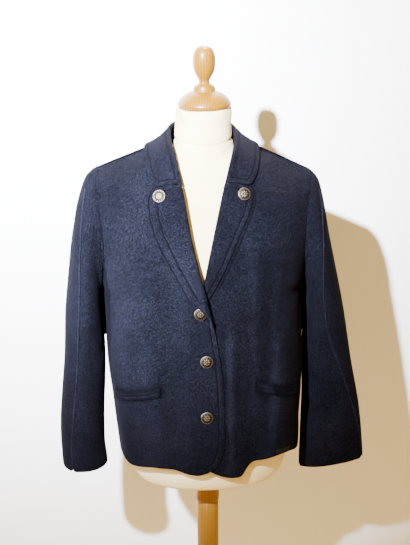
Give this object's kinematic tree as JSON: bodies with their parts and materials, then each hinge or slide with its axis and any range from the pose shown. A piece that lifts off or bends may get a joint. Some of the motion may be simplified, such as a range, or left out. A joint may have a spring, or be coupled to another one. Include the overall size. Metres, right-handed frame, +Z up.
{
  "type": "wool jacket on dress form",
  "caption": "Hip-length boiled-wool jacket with notched lapels, welt pockets and domed metal buttons, worn buttoned on a limbless dress form that stands on a pole.",
  "frame": {"origin": "centre of the underside of the foot, on the axis of the pole", "axes": "+Z up along the pole, -Y towards the jacket's front, +X towards the wearer's left"},
  "size_m": [0.59, 0.352, 1.45],
  "materials": {
    "navy_boiled_wool": "felted nap",
    "grey_woven_tape": "satin weave",
    "antique_pewter": "antique silver-gold, worn relief",
    "cream_cotton_cloth": "matt cover cloth",
    "honey_varnished_beech": "satin varnish",
    "chestnut_varnished_beech": "satin varnish"
  },
  "bodies": {
    "root": {"front_right": "navy_boiled_wool", "front_left": "navy_boiled_wool", "back": "navy_boiled_wool", "sleeve_right_front": "navy_boiled_wool", "sleeve_right_back": "navy_boiled_wool", "sleeve_left_front": "navy_boiled_wool", "sleeve_left_back": "navy_boiled_wool", "collar": "navy_boiled_wool", "pocket_welt_right": "navy_boiled_wool", "pocket_welt_left": "navy_boiled_wool", "hem_tab": "grey_woven_tape", "button_front_1": "antique_pewter", "button_front_2": "antique_pewter", "button_front_3": "antique_pewter", "button_lapel_right": "antique_pewter", "button_lapel_left": "antique_pewter", "form_torso": "cream_cotton_cloth", "neck_cap": "honey_varnished_beech", "finial": "honey_varnished_beech", "pole_collar": "chestnut_varnished_beech", "pole": "chestnut_varnished_beech", "foot": "chestnut_varnished_beech"}
  },
  "joints": []
}
